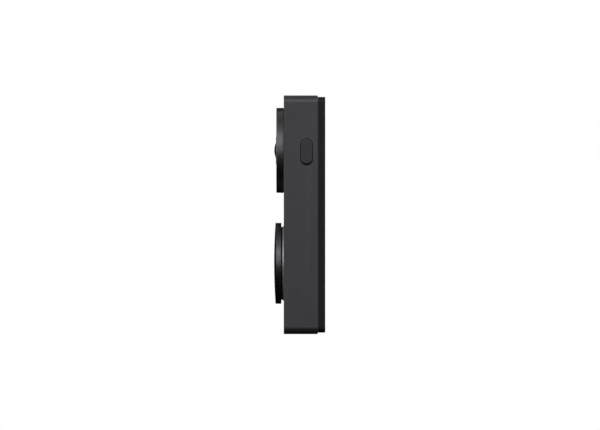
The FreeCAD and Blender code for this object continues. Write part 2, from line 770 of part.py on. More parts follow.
def make_chips():
    """The screened processor, the radio module and the memory chips."""
    shield = plate("soc_shield", rounded(-10.4, 3.4, 14.6, 14.6, 0.8), BOARD_FRONT,
                   BOARD_FRONT + 1.8)
    soften(shield, "Y", -(BOARD_FRONT + 1.8), 0.3)
    block("wifi_module", 13.0, BOARD_FRONT, BOARD_FRONT + 1.6, 11.0, 9.4, 2.6)
    chip = block("memory_chip_piece", 8.0, 0.0, 0.9, 6.0, 0.0, 0.0, kept=False)
    carrier = doc.addObject("Part::Compound", "memory_chip_carrier")
    carrier.Links = [chip]
    group("memory_chips", carrier, [(-11.0, BOARD_FRONT, -27.0), (11.0, BOARD_FRONT, -27.0)])
    block("battery_connector", 6.2, BOARD_FRONT, BOARD_FRONT + 3.4, 3.2, 8.0, 12.0)


def make_microphone():
    """The microphone and the rubber boot that joins it to the hole in the front wall."""
    block("microphone", 3.0, BOARD_FRONT, BOARD_FRONT + 1.0, 2.6, 0.0, 4.5)
    turned("mic_boot", [(0.6, BOARD_FRONT + 1.0), (1.3, BOARD_FRONT + 1.0), (1.3, INNER_FRONT),
                        (0.6, INNER_FRONT)], height=4.5)


def make_speaker():
    """The speaker, which faces the slots in the bottom wall, and the foam between them."""
    low = -INNER_TOP + 0.4
    body = plate("speaker", rounded(0.0, low + 5.2, 34.0, 10.4, 2.0), 15.0, INNER_FRONT - 0.4)
    soften(body, "Y", -(INNER_FRONT - 0.4), 0.6)
    middle = -(INNER_FRONT - 3.4)
    gasket = new_body("speaker_gasket")

    def foam(outline):
        outline.rectangle(0.0, middle, 32.0, 5.9, 1.5)
        outline.rectangle(0.0, middle, 27.0, 4.4, 1.0)
    extrude(gasket, "Pad", "XY_Plane", foam, -INNER_TOP, low)


def make_antenna():
    """The radio antenna, a thin board inside the top of the front wall."""
    plate("antenna", rounded(0.0, 63.4, 34.0, 4.0, 0.8), INNER_FRONT - 0.8, INNER_FRONT)


def make_usb_port():
    """The charging port that stands up from the main board to the rear cover."""
    body = new_body("usb_port")

    def shell(outline):
        outline.pill(0.0, -49.0, 8.94, 3.2)

    def mouth(outline):
        outline.pill(0.0, -49.0, 8.3, 2.56)
    pad(body, shell, 4.6, dims.board_rear)
    cut(body, mouth, 4.6, 11.0)
    pad(body, rounded(0.0, -49.0, 6.7, 0.7), 5.2, 11.2)


def make_terminals():
    """The two screws and tabs that take the doorbell wires, in the recess of the rear cover."""
    places = [(side * 7.0, WIRING_FLOOR - 0.4, dims.wiring_height) for side in (-1, 1)]
    tab = plate("terminal_tab_piece", rounded(0.0, 0.0, 7.0, 9.0, 0.8), 0.0, 0.4, kept=False)
    cut(tab, circles([(0.0, 0.0)], 1.2), 0.0, 0.4)
    group("terminal_tabs", tab, places)
    head = turned("terminal_screw_piece", [
        (0.0, -1.5), (2.2, -1.5), (2.6, -1.1), (2.6, 0.0), (1.2, 0.0), (1.2, 2.0), (0.0, 2.0)],
        kept=False)
    cut(head, rounded(0.0, 0.0, 3.6, 0.7), -2.0, -0.8)
    group("terminal_screws", head, places)


def make_battery():
    """The battery pack between the main board and the rear cover, on a foam pad."""
    pack_rear = COVER_FRONT + 0.8
    pack_front = dims.board_rear - 1.0
    pack_top = 8.0
    middle = pack_top - 24.5
    pack = plate("battery_pack", rounded(0.0, middle, 44.0, 49.0, 2.5), pack_rear, pack_front)
    soften(pack, "Y", -pack_rear, 1.2)
    soften(pack, "Y", -pack_front, 1.2)
    plate("battery_pad", rounded(0.0, middle, 38.0, 42.0, 2.0), COVER_FRONT, pack_rear)
    leads = []
    for number, x in enumerate((7.2, 8.8), start=1):
        leads.append(lead(f"battery_lead_{number}", x, pack_top, 10.6,
                          BOARD_FRONT.number + 1.8))
    joined("battery_leads", leads)


def lead(name, x, start_height, rear, front):
    """A wire that leaves the pack upwards, turns over the board's edge and enters a connector."""
    radius = 0.55
    top = 18.6
    end_height = 13.6
    bend = (front - rear) / 2
    turn_height = top - bend
    middle = (rear + front) / 2
    rise = Part.LineSegment(Vector(x, -rear, start_height), Vector(x, -rear, turn_height))
    over = Part.Arc(Vector(x, -rear, turn_height), Vector(x, -middle, top),
                    Vector(x, -front, turn_height))
    fall = Part.LineSegment(Vector(x, -front, turn_height), Vector(x, -front, end_height))
    path = Part.Wire([rise.toShape(), over.toShape(), fall.toShape()])
    section = Part.Wire([Part.makeCircle(radius, Vector(x, -rear, start_height),
                                         Vector(0, 0, 1))])
    feature = doc.addObject("Part::Feature", name)
    feature.Shape = path.makePipeShell([section], True, True)
    feature.Placement = Placement(Vector(0, 0, 0), Rotation())
    return feature


# The bell button

def make_light_ring():
    """The pale ring round the button, which carries light out from the lamps on the board."""
    front = SHELL_FRONT + dims.ring_protrusion
    tongue_front = SHELL_FRONT + dims.button_rear + TONGUE_REACH
    turned("light_ring", [
        (dims.ring_bore, INNER_FRONT - 1.4), (23.0, INNER_FRONT - 1.4), (23.0, INNER_FRONT),
        (dims.ring_radius, INNER_FRONT), (dims.ring_radius, front - 0.2),
        (dims.ring_radius - 0.2, front), (TONGUE_OUTER, front), (TONGUE_OUTER, tongue_front),
        (TONGUE_INNER, tongue_front), (TONGUE_INNER, front), (dims.ring_bore, front)],
        height=dims.button_height)
    lamp = block("ring_led_piece", 1.6, 0.0, 0.8, 1.6, 0.0, 0.0, kept=False)
    carrier = doc.addObject("Part::Compound", "ring_led_carrier")
    carrier.Links = [lamp]
    lamp_circle = 21.0
    turns = [math.radians(angle) for angle in range(0, 360, 45)]
    group("ring_leds", carrier, [(lamp_circle * math.cos(turn), BOARD_FRONT,
                                  dims.button_height + lamp_circle * math.sin(turn))
                                 for turn in turns])


def make_button():
    """The bell button: rim with a skirt through the light ring, and the domed face in it."""
    rear = SHELL_FRONT + dims.button_rear
    edge = SHELL_FRONT + dims.button_edge
    peak = SHELL_FRONT + dims.button_peak
    skirt = dims.ring_bore - 0.3
    recess = dims.button_radius - 1.0
    floor = rear + 2.0
    round_edge = 0.5
    groove_gap = 0.3
    groove_front = rear + TONGUE_REACH + dims.button_travel + 0.3
    body = turned("button_rim", [
        (0.0, rear), (skirt - 2.0, rear), (skirt - 2.0, RETAINER_FRONT), (skirt, RETAINER_FRONT),
        (skirt, rear), (TONGUE_INNER - groove_gap, rear), (TONGUE_INNER - groove_gap, groove_front),
        (TONGUE_OUTER + groove_gap, groove_front), (TONGUE_OUTER + groove_gap, rear),
        (dims.button_radius - 0.2, rear), (dims.button_radius, rear + 0.2),
        (dims.button_radius, edge - round_edge, -round_edge),
        (dims.button_radius - round_edge, edge),
        (recess, edge), (recess, floor), (0.0, floor)], height=dims.button_height)
    turns = [math.radians(angle) for angle in (90, 210, 330)]
    bosses = [(14.6 * math.cos(turn), 14.6 * math.sin(turn)) for turn in turns]
    pad(body, circles(bosses, 2.4), RETAINER_FRONT, rear + 0.2)
    cut(body, circles(bosses, MACHINE_SCREW["shaft"]), RETAINER_FRONT, RETAINER_FRONT + 4.0)
    face_radius = recess - 0.05
    dome = dome_radius(face_radius, peak - edge)
    turned("button_face", [
        (0.0, floor), (face_radius, floor), (face_radius, edge, -dome), (0.0, peak)],
        height=dims.button_height)
    retainer = turned("button_retainer", [
        (0.0, RETAINER_REAR), (20.4, RETAINER_REAR), (20.4, RETAINER_FRONT),
        (0.0, RETAINER_FRONT)], height=dims.button_height)
    cut(retainer, circles(bosses, 1.1), RETAINER_REAR, RETAINER_FRONT)
    piece = screw("retainer_screw_piece", 4.6)
    group("retainer_screws", piece,
          [(x, RETAINER_REAR, dims.button_height + level) for x, level in bosses])


def make_bell_switch():
    """The snap switch under the button, and its stem, which moves with the button."""
    top = BOARD_FRONT + 2.2
    body = plate("bell_switch", rounded(0.0, dims.button_height, 6.2, 6.2, 0.4), BOARD_FRONT, top)
    cut(body, circles([(0.0, dims.button_height)], 1.75), top - 1.3, top)
    turned("bell_switch_stem", [(0.0, top - 0.7), (1.6, top - 0.7), (1.6, RETAINER_REAR),
                                (0.0, RETAINER_REAR)], height=dims.button_height)


# The side key

def make_side_key():
    """The long narrow key in the +X wall, with a flange that keeps it in."""
    body = new_body("side_key")
    flange = INNER_SIDE - 1.0
    outside = CASE_SIDE + dims.key_protrusion

    def inner(outline):
        outline.pill(-KEY_DEPTH, dims.key_height, dims.key_width + 1.8, dims.key_length + 1.8)

    def outer(outline):
        outline.pill(-KEY_DEPTH, dims.key_height, dims.key_width, dims.key_length)
    extrude(body, "Pad", "YZ_Plane", inner, flange, flange + 0.7)
    extrude(body, "Pad", "YZ_Plane", outer, flange + 0.7, outside)
    soften(body, "X", outside, 0.6)


def make_side_switch():
    """The small board behind the side key, its switch, and the switch's stem."""
    board_in = INNER_SIDE - 7.0
    face = INNER_SIDE - 2.7
    block("side_board", 0.8, 7.0, 14.4, 17.0, board_in + 0.4, dims.key_height)
    body = new_body("side_switch")

    def square(outline):
        outline.rectangle(-KEY_DEPTH, dims.key_height, 6.0, 6.0)

    def hole(outline):
        outline.circle(-KEY_DEPTH, dims.key_height, 1.45)

    def rod(outline):
        outline.circle(-KEY_DEPTH, dims.key_height, 1.3)
    extrude(body, "Pad", "YZ_Plane", square, board_in + 0.8, face)
    extrude(body, "Pocket", "YZ_Plane", hole, face - 1.2, face)
    stem = new_body("side_switch_stem")
    extrude(stem, "Pad", "YZ_Plane", rod, face - 0.6, INNER_SIDE - 1.0)


# The release latch

def make_latch():
    """The latch that holds the case down on the wall plate, and the cap behind it."""
    tip_rear = dims.plate_depth - 1.3
    body = new_body("release_latch")
    pad(body, rounded(0.0, dims.latch_height, 6.0, 3.6, 0.4), tip_rear, COVER_FRONT + 0.5)
    pad(body, rounded(0.0, dims.latch_height, 7.4, 4.4, 0.4), COVER_FRONT + 0.3, 9.6)
    plate("latch_cap", rounded(0.0, dims.latch_height, 10.6, 7.6, 1.0), LATCH_STOP,
          LATCH_STOP + 1.0)


def build():
    """Build every sub-part."""
    make_wall_plate()
    make_front_case()
    make_rear_cover()
    make_cover_seal()
    make_cover_screws()
    make_bezel()
    make_camera_window()
    make_pir()
    make_lens()
    make_lens_holder()
    make_ir_filter()
    make_camera_boards()
    make_camera_flex()
    make_main_board()
    make_chips()
    make_microphone()
    make_speaker()
    make_antenna()
    make_usb_port()
    make_terminals()
    make_battery()
    make_light_ring()
    make_button()
    make_bell_switch()
    make_side_key()
    make_side_switch()
    make_latch()
    doc.recompute()


def check():
    """Stop if any object failed or any sub-part has no valid shape."""
    for item in doc.Objects:
        if "Invalid" in item.State or "Error" in item.State:
            raise RuntimeError(f"{item.Name} failed: {item.State}")
    for item in SUB_PARTS:
        if item.Shape.isNull() or not item.Shape.isValid() or not item.Shape.Solids:
            raise RuntimeError(f"{item.Label} has no valid shape")


def write():
    """Write each sub-part to its own file."""
    os.makedirs("parts", exist_ok=True)
    for item in SUB_PARTS:
        item.Shape.exportStep(f"parts/{item.Label}.step")
        print(f"{item.Label}: {len(item.Shape.Solids)} solids, {item.Shape.Volume:.1f} mm3")


build()
check()
write()
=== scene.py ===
"""The video doorbell as it looks: case, camera disc, lit bell button, side key and wall plate."""
import math

import bmesh
import bpy
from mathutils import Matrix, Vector


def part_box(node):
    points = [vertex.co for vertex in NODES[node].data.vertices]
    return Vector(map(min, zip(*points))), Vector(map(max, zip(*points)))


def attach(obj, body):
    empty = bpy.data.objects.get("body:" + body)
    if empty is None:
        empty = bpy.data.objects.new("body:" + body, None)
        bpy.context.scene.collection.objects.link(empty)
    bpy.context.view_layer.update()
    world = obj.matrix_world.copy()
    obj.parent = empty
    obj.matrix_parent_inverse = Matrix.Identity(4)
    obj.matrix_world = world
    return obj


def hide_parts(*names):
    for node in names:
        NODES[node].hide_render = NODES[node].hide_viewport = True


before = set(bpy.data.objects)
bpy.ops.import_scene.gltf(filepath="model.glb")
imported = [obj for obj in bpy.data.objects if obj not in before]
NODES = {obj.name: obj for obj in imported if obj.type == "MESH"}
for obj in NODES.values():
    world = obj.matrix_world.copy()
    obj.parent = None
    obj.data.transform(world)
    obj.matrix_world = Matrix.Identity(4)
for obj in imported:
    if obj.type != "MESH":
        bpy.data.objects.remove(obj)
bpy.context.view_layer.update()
MM = 0.001


def span(node):
    """Lowest and highest corner of a CAD node in millimetres."""
    low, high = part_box(node)
    return low / MM, high / MM


# The case. A depth is in millimetres in front of the wall, so a depth of d lies at y = -d.
CASE_LOW, CASE_HIGH = span("front_case")
CASE_REAR = -CASE_HIGH.y
CASE_FRONT = -CASE_LOW.y
CASE_WIDE = CASE_HIGH.x - CASE_LOW.x
CASE_TALL = CASE_HIGH.z - CASE_LOW.z
CASE_CORNER = 4.1
INNER_FRONT = CASE_FRONT - 2.0
PLATE_FRONT = CASE_REAR - 0.2
MIC_Z = 4.5
SPEAKER_DEPTH = INNER_FRONT - 3.4
SPEAKER_SLOTS = (-12.0, -8.0, -4.0, 0.0, 4.0, 8.0, 12.0)
LATCH_DEPTH = CASE_REAR + 5.0

# The camera disc
BEZEL_LOW, BEZEL_HIGH = span("camera_bezel")
CAMERA_Z = (BEZEL_LOW.z + BEZEL_HIGH.z) / 2
BEZEL_RADIUS = (BEZEL_HIGH.x - BEZEL_LOW.x) / 2
BEZEL_BORE = 19.8
DISC_FRONT = -BEZEL_LOW.y
WINDOW_REAR = CASE_FRONT + 2.7
WINDOW_FRONT = DISC_FRONT - 0.05
WINDOW_RADIUS = 22.9
TRIM_FRONT = -span("lens_trim")[0].y
TRIM_RADIUS = 7.9
DOME_RADIUS = 4.65
DOME_SAG = 1.03
LENS_PEAK = -span("lens_dome")[0].y
PIR_WIDE = 17.2
PIR_TALL = 6.2
PIR_Z = CAMERA_Z - 14.0

# The bell button, and the light ring whose tongue runs in the button's groove
RIM_LOW, RIM_HIGH = span("button_rim")
BUTTON_Z = (RIM_LOW.z + RIM_HIGH.z) / 2
BUTTON_RADIUS = (RIM_HIGH.x - RIM_LOW.x) / 2
BUTTON_REAR = CASE_FRONT + 1.4
BUTTON_FLOOR = BUTTON_REAR + 2.0
BUTTON_RECESS = BUTTON_RADIUS - 1.0
BUTTON_EDGE = 0.5
RIM_EDGE = -RIM_LOW.y
RIM_SHOULDER = RIM_EDGE - 0.45
FACE_PEAK = -span("button_face")[0].y
RING_RADIUS = 21.6
RING_BORE = 19.6
RING_FRONT = CASE_FRONT + 0.82
TONGUE_OUTER = RING_RADIUS - 0.5
TONGUE_INNER = TONGUE_OUTER - 0.8
TONGUE_FRONT = BUTTON_REAR + 0.5

# The side key, whose slot leaves a wider gap below it than above
KEY_LOW, KEY_HIGH = span("side_key")
KEY_Y = (KEY_LOW.y + KEY_HIGH.y) / 2
KEY_Z = (KEY_LOW.z + KEY_HIGH.z) / 2
KEY_FLANGE = 0.9
KEY_WIDE = KEY_HIGH.y - KEY_LOW.y - 2 * KEY_FLANGE
KEY_TALL = KEY_HIGH.z - KEY_LOW.z - 2 * KEY_FLANGE
KEY_GAP = 0.2
KEY_GAP_ABOVE = 0.06
KEY_GAP_BELOW = 0.52

# Degrees between two faces over which their edge is sharp
CREASE = 32.0
CAD_CREASE = 28.0


# Meshes

def mesh_object(name, verts, faces):
    """A smooth-shaded object from points in millimetres."""
    mesh = bpy.data.meshes.new(name)
    mesh.from_pydata([Vector(v) * MM for v in verts], [], faces)
    mesh.validate()
    piece = bpy.data.objects.new(name, mesh)
    bpy.context.scene.collection.objects.link(piece)
    return finish_mesh(piece)


def finish_mesh(piece):
    """Consistent normals, smooth shading with crisp edges, and flats that stay flat."""
    mesh = piece.data
    shape = bmesh.new()
    shape.from_mesh(mesh)
    bmesh.ops.recalc_face_normals(shape, faces=shape.faces)
    shape.to_mesh(mesh)
    shape.free()
    smooth(piece, CREASE)
    return piece


def smooth(piece, angle):
    """Smooth shading, sharp at edges over an angle, weighted by face area."""
    mesh = piece.data
    mesh.shade_smooth()
    mesh.set_sharp_from_angle(angle=math.radians(angle))
    weighted = piece.modifiers.new("weighted normals", "WEIGHTED_NORMAL")
    weighted.keep_sharp = True


def arc(centre, radius, start, end, steps):
    """Points on a circle between two angles in degrees."""
    turns = [math.radians(start + (end - start) * i / steps) for i in range(steps + 1)]
    return [(centre[0] + radius * math.cos(t), centre[1] + radius * math.sin(t)) for t in turns]


def lathe(name, profile, height, segments):
    """A piece turned about a line along Y at a height, from points of (radius, depth)."""
    verts, rings = [], []
    for radius, depth in profile:
        if radius < 1e-6:
            rings.append([len(verts)] * segments)
            verts.append((0.0, -depth, height))
            continue
        rings.append(list(range(len(verts), len(verts) + segments)))
        for i in range(segments):
            turn = 2 * math.pi * i / segments
            verts.append((radius * math.cos(turn), -depth, height + radius * math.sin(turn)))
    faces = []
    for low, high in zip(rings, rings[1:] + rings[:1]):
        if low[0] == low[1] and high[0] == high[1]:
            continue
        for i in range(segments):
            j = (i + 1) % segments
            corners = [low[i], low[j], high[j], high[i]]
            faces.append(list(dict.fromkeys(corners)))
    return mesh_object(name, verts, faces)


def cap(radius, sag, peak, steps):
    """Points of (radius, depth) from the edge of a sphere's cap to its peak."""
    sphere = (radius ** 2 + sag ** 2) / (2 * sag)
    sweep = math.asin(radius / sphere)
    turns = [sweep * (1 - i / steps) for i in range(steps + 1)]
    return [(sphere * math.sin(turn), peak - sphere + sphere * math.cos(turn)) for turn in turns]


def rounded_loop(width, height, corner, steps=16):
    """Points round a rectangle with round corners, anticlockwise."""
    half_x, half_y = width / 2 - corner, height / 2 - corner
    points = []
    for sx, sy, start in ((1, 1, 0), (-1, 1, 90), (-1, -1, 180), (1, -1, 270)):
        points += arc((sx * half_x, sy * half_y), corner, start, start + 90, steps)
    return points


def pill_loop(width, height, steps=20):
    """Points round a slot with half-round ends, anticlockwise."""
    radius = min(width, height) / 2
    if width > height:
        reach = width / 2 - radius
        return (arc((reach, 0.0), radius, -90, 90, steps)
                + arc((-reach, 0.0), radius, 90, 270, steps))
    reach = height / 2 - radius
    return (arc((0.0, reach), radius, 0, 180, steps)
            + arc((0.0, -reach), radius, 180, 360, steps))


def loft(name, loops, place):
    """A closed skin through loops of (points, level), capped at both ends."""
    verts, faces = [], []
    count = len(loops[0][0])
    for points, level in loops:
        verts += [place(u, v, level) for u, v in points]
    for k in range(len(loops) - 1):
        for i in range(count):
            j = (i + 1) % count
            faces.append([k * count + i, k * count + j,
                          (k + 1) * count + j, (k + 1) * count + i])
    faces.append(list(range(count))[::-1])
    faces.append([(len(loops) - 1) * count + i for i in range(count)])
    return mesh_object(name, verts, faces)


def facing_front(u, v, depth):
    """Sideways, up and depth, as a point."""
    return (u, -depth, v)


def cut_out(piece, cutters):
    """Subtract the cutters from the piece, and delete them."""
    bpy.context.view_layer.objects.active = piece
    for cutter in cutters:
        difference = piece.modifiers.new("cut", "BOOLEAN")
        difference.operation = "DIFFERENCE"
        difference.solver = "EXACT"
        difference.object = cutter
        piece.modifiers.move(len(piece.modifiers) - 1, 0)
        with bpy.context.temp_override(object=piece, active_object=piece):
            bpy.ops.object.modifier_apply(modifier="cut")
        bpy.data.objects.remove(cutter)
    shape = bmesh.new()
    shape.from_mesh(piece.data)
    bmesh.ops.remove_doubles(shape, verts=shape.verts, dist=0.002 * MM)
    bmesh.ops.dissolve_degenerate(shape, edges=shape.edges, dist=0.001 * MM)
    for face in shape.faces:
        face.smooth = True
    for edge in shape.edges:
        edge.smooth = edge.calc_face_angle(0.0) < math.radians(CREASE)
    shape.to_mesh(piece.data)
    shape.free()


# Materials

class Shader:
    """A node material built round one Principled shader."""

    def __init__(self, name, color, roughness, metallic=0.0):
        self.material = bpy.data.materials.new(name)
        self.material.use_nodes = True
        self.tree = self.material.node_tree
        self.shader = self.tree.nodes["Principled BSDF"]
        self.set("Base Color", (*color, 1.0))
        self.set("Roughness", roughness)
        self.set("Metallic", metallic)
        self.color = color
        self.roughness = roughness
        coords = self.tree.nodes.new("ShaderNodeTexCoord")
        self.coords = coords.outputs["Object"]

    def set(self, socket, value):
        """Set a constant on the shader's own socket."""
        self.shader.inputs[socket].default_value = value

    def link(self, source, target):
        """Join two sockets."""
        self.tree.links.new(source, target)

    def noise(self, scale, detail=4.0):
        """A noise value over the surface."""
        node = self.tree.nodes.new("ShaderNodeTexNoise")
        node.inputs["Scale"].default_value = scale
        node.inputs["Detail"].default_value = detail
        self.link(self.coords, node.inputs["Vector"])
        return node.outputs["Fac"]

    def remap(self, value, low, high, start=0.35, end=0.65):
        """A value mapped from start..end to low..high."""
        node = self.tree.nodes.new("ShaderNodeMapRange")
        node.inputs["From Min"].default_value = start
        node.inputs["From Max"].default_value = end
        node.inputs["To Min"].default_value = low
        node.inputs["To Max"].default_value = high
        self.link(value, node.inputs["Value"])
        return node.outputs["Result"]

    def vary_color(self, value, amount, start=0.35, end=0.65):
        """Darken and lighten the base colour by a share of itself."""
        mix = self.tree.nodes.new("ShaderNodeMix")
        mix.data_type = "RGBA"
        mix.inputs["A"].default_value = (*[c * (1 - amount) for c in self.color], 1.0)
        mix.inputs["B"].default_value = (*[min(1.0, c * (1 + amount)) for c in self.color], 1.0)
        self.link(self.remap(value, 0.0, 1.0, start, end), mix.inputs["Factor"])
        self.link(mix.outputs["Result"], self.shader.inputs["Base Color"])
        return mix

    def vary_roughness(self, value, amount):
        """Vary the roughness by an amount each way."""
        low = max(0.0, self.roughness - amount)
        self.link(self.remap(value, low, self.roughness + amount), self.shader.inputs["Roughness"])

    def bump(self, value, strength, distance):
        """Raise the surface by a value, over a distance in millimetres."""
        node = self.tree.nodes.new("ShaderNodeBump")
        node.inputs["Strength"].default_value = strength
        node.inputs["Distance"].default_value = distance * MM
        self.link(value, node.inputs["Height"])
        self.link(node.outputs["Normal"], self.shader.inputs["Normal"])

    def lighten_convex_edges(self, mix, lift):
        """Lighten the base colour slightly on sharp convex edges, found by the surface's
        pointiness.
        """
        geometry = self.tree.nodes.new("ShaderNodeNewGeometry")
        edge = self.remap(geometry.outputs["Pointiness"], 0.0, 1.0, 0.505, 0.56)
        node = self.tree.nodes.new("ShaderNodeMix")
        node.data_type = "RGBA"
        node.inputs["B"].default_value = (*[c * (1 + lift) for c in self.color], 1.0)
        self.link(edge, node.inputs["Factor"])
        self.link(mix.outputs["Result"], node.inputs["A"])
        self.link(node.outputs["Result"], self.shader.inputs["Base Color"])


def moulded(name, color, roughness, grain=0.35, relief=0.02, edge_lift=0.25, gloss=0.4):
    """Moulded plastic with a fine texture, whose grain and relief are in millimetres."""
    shader = Shader(name, color, roughness)
    mix = shader.vary_color(shader.noise(90.0, 6.0), 0.04)
    # Sharp convex edges are a little lighter in colour.
    shader.lighten_convex_edges(mix, edge_lift)
    shader.vary_roughness(shader.noise(260.0, 5.0), 0.025)
    shader.bump(shader.noise(1000.0 / grain, 3.0), 0.5, relief)
    shader.set("Specular IOR Level", gloss)
    shader.set("Specular Tint", (0.95, 0.93, 1.0, 1.0))
    return shader.material


def satin_metal(name, color, roughness):
    """Blasted metal with a fine satin grain."""
    shader = Shader(name, color, roughness, 1.0)
    shader.vary_color(shader.noise(400.0, 6.0), 0.08)
    shader.vary_roughness(shader.noise(700.0, 4.0), 0.04)
    shader.bump(shader.noise(2600.0, 2.0), 0.25, 0.006)
    return shader.material


def polished(name, color, roughness=0.06):
    """Polished plastic under a clear coat, very slightly wavy."""
    shader = Shader(name, color, roughness)
    shader.vary_color(shader.noise(120.0, 3.0), 0.1)
    shader.vary_roughness(shader.noise(180.0, 6.0), 0.02)
    shader.bump(shader.noise(60.0, 2.0), 0.08, 0.01)
    shader.set("Coat Weight", 1.0)
    shader.set("Coat Roughness", 0.03)
    return shader.material


def frosted(name, color, roughness):
    """A frosted light guide: pale and sheened, under a soft coat."""
    shader = Shader(name, color, roughness, 0.3)
    shader.vary_color(shader.noise(500.0, 4.0), 0.04)
    shader.vary_roughness(shader.noise(900.0, 3.0), 0.05)
    shader.bump(shader.noise(3200.0, 2.0), 0.3, 0.006)
    shader.set("Specular IOR Level", 1.0)
    shader.set("Coat Weight", 1.0)
    shader.set("Coat Roughness", 0.25)
    shader.set("Coat IOR", 1.8)
    shader.set("Subsurface Weight", 0.05)
    shader.set("Subsurface Radius", (0.002, 0.002, 0.002))
    shader.set("Subsurface Scale", 0.4)
    return shader.material


def tinted(name, color, roughness=0.03):
    """Tinted clear plastic or glass."""
    shader = Shader(name, color, roughness)
    shader.vary_color(shader.noise(80.0, 2.0), 0.05)
    shader.vary_roughness(shader.noise(220.0, 5.0), 0.01)
    shader.set("Transmission Weight", 1.0)
    shader.set("IOR", 1.5)
    return shader.material


def smoked(name, color, density, roughness=0.01):
    """Clear glass with a dark tint that deepens along the light's path, per millimetre."""
    material = tinted(name, (1.0, 1.0, 1.0), roughness)
    tree = material.node_tree
    coating = tree.nodes["Principled BSDF"].inputs
    coating["Thin Film Thickness"].default_value = 100.0
    coating["Thin Film IOR"].default_value = 1.38
    smoke = tree.nodes.new("ShaderNodeVolumeAbsorption")
    smoke.inputs["Color"].default_value = (*color, 1.0)
    smoke.inputs["Density"].default_value = density / MM
    tree.links.new(smoke.outputs["Volume"], tree.nodes["Material Output"].inputs["Volume"])
    return material


def board(name, color):
    """Circuit board: glossy mask over a faint pattern of copper tracks."""
    shader = Shader(name, color, 0.3)
    tracks = shader.tree.nodes.new("ShaderNodeTexBrick")
    tracks.inputs["Scale"].default_value = 420.0
    tracks.inputs["Mortar Size"].default_value = 0.03
    shader.link(shader.coords, tracks.inputs["Vector"])
    shader.vary_color(tracks.outputs["Fac"], 0.35, 0.0, 1.0)
    shader.vary_roughness(shader.noise(500.0), 0.08)
    shader.bump(tracks.outputs["Fac"], 0.4, 0.02)
    return shader.material


def rubbery(name, color):
    """Soft rubber or foam."""
    shader = Shader(name, color, 0.75)
    shader.vary_color(shader.noise(300.0), 0.15)
    shader.vary_roughness(shader.noise(500.0), 0.08)
    shader.bump(shader.noise(1500.0, 4.0), 0.5, 0.03)
    return shader.material


def painted_floor():
    """The pale studio floor."""
    shader = Shader("floor", (0.86, 0.86, 0.86), 0.9)
    shader.vary_color(shader.noise(3.0, 2.0), 0.01)
    shader.vary_roughness(shader.noise(8.0), 0.03)
    shader.set("Emission Color", (1.0, 1.0, 1.0, 1.0))
    shader.set("Emission Strength", 0.35)
    return shader.material


case_plastic = moulded("case_plastic", (0.026, 0.0255, 0.031), 0.36, gloss=1.0)
plate_plastic = moulded("plate_plastic", (0.009, 0.009, 0.0095), 0.5, grain=0.4, gloss=0.3)
key_plastic = moulded("key_plastic", (0.021, 0.0205, 0.026), 0.36, grain=0.3, gloss=0.7)
inner_plastic = moulded("inner_plastic", (0.02, 0.02, 0.02), 0.5, grain=0.5)
rim_metal = satin_metal("rim_metal", (0.155, 0.153, 0.168), 0.37)
trim_metal = satin_metal("trim_metal", (0.22, 0.22, 0.23), 0.3)
plated = satin_metal("plated_steel", (0.62, 0.61, 0.58), 0.25)
brass = satin_metal("brass", (0.72, 0.52, 0.22), 0.28)
copper = satin_metal("copper_winding", (0.7, 0.3, 0.14), 0.35)
black_gloss = polished("black_gloss", (0.006, 0.006, 0.007))
# Near-black matte used as painted shade, on the button rim's front corner and the light ring's
# tongue.
painted_shade_black = moulded("painted_shade_black", (0.004, 0.004, 0.004), 0.6, grain=0.3, relief=0.01, edge_lift=0.0,
                     gloss=0.1)
dark_window = tinted("dark_window", (0.045, 0.045, 0.05))
clear_glass = tinted("clear_glass", (0.92, 0.94, 0.96), 0.01)
smoked_glass = smoked("smoked_glass", (0.02, 0.02, 0.05), 1.0)
ring_frosted = frosted("ring_frosted", (0.95, 0.94, 0.99), 0.36)
green_board = board("green_board", (0.012, 0.09, 0.045))
black_board = board("black_board", (0.012, 0.012, 0.013))
rubber = rubbery("rubber", (0.02, 0.02, 0.02))
red_rubber = rubbery("red_insulation", (0.45, 0.02, 0.02))
foil = satin_metal("battery_foil", (0.5, 0.5, 0.52), 0.4)
cream = moulded("cream_plastic", (0.7, 0.66, 0.55), 0.4)
orange_film = polished("orange_film", (0.45, 0.2, 0.03), 0.2)
red_plastic = moulded("red_plastic", (0.45, 0.04, 0.02), 0.4)
chip_plastic = moulded("chip_plastic", (0.02, 0.02, 0.021), 0.5, grain=0.2)
lamp_plastic = tinted("lamp_plastic", (0.75, 0.7, 0.72), 0.08)

CAD_MATERIALS = {
    "wall_plate": plate_plastic, "rear_cover": plate_plastic, "cover_seal": rubber,
    "cover_screws": plated, "bezel_gasket": rubber, "pir_sensor": plated,
    "lens_elements": clear_glass, "lens_holder": inner_plastic, "ir_cut_filter": inner_plastic,
    "filter_panes": clear_glass, "ir_cut_coil": copper, "camera_board": green_board,
    "image_sensor": chip_plastic, "camera_board_screws": plated, "ir_led_board": black_board,
    "light_sensor": cream, "camera_flex": orange_film, "main_board": green_board,
    "board_screws": plated, "soc_shield": plated, "wifi_module": plated,
    "memory_chips": chip_plastic, "battery_connector": cream, "microphone": brass,
    "mic_boot": rubber, "speaker": inner_plastic, "speaker_gasket": rubber,
    "antenna": black_board, "usb_port": plated, "terminal_screws": plated,
    "terminal_tabs": brass, "battery_pack": foil, "battery_pad": rubber,
    "battery_leads": red_rubber, "ring_leds": cream, "button_retainer": inner_plastic,
    "retainer_screws": plated, "bell_switch": chip_plastic, "bell_switch_stem": red_plastic,
    "side_board": green_board, "side_switch": chip_plastic, "side_switch_stem": red_plastic,
    "release_latch": inner_plastic, "latch_cap": inner_plastic, "ir_leds": lamp_plastic,
}


def dress(piece, material, body, node=None):
    """Give a piece its material and body, and let it stand for its CAD node, if it has one."""
    piece.data.materials.clear()
    piece.data.materials.append(material)
    if node:
        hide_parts(node)
    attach(piece, body)


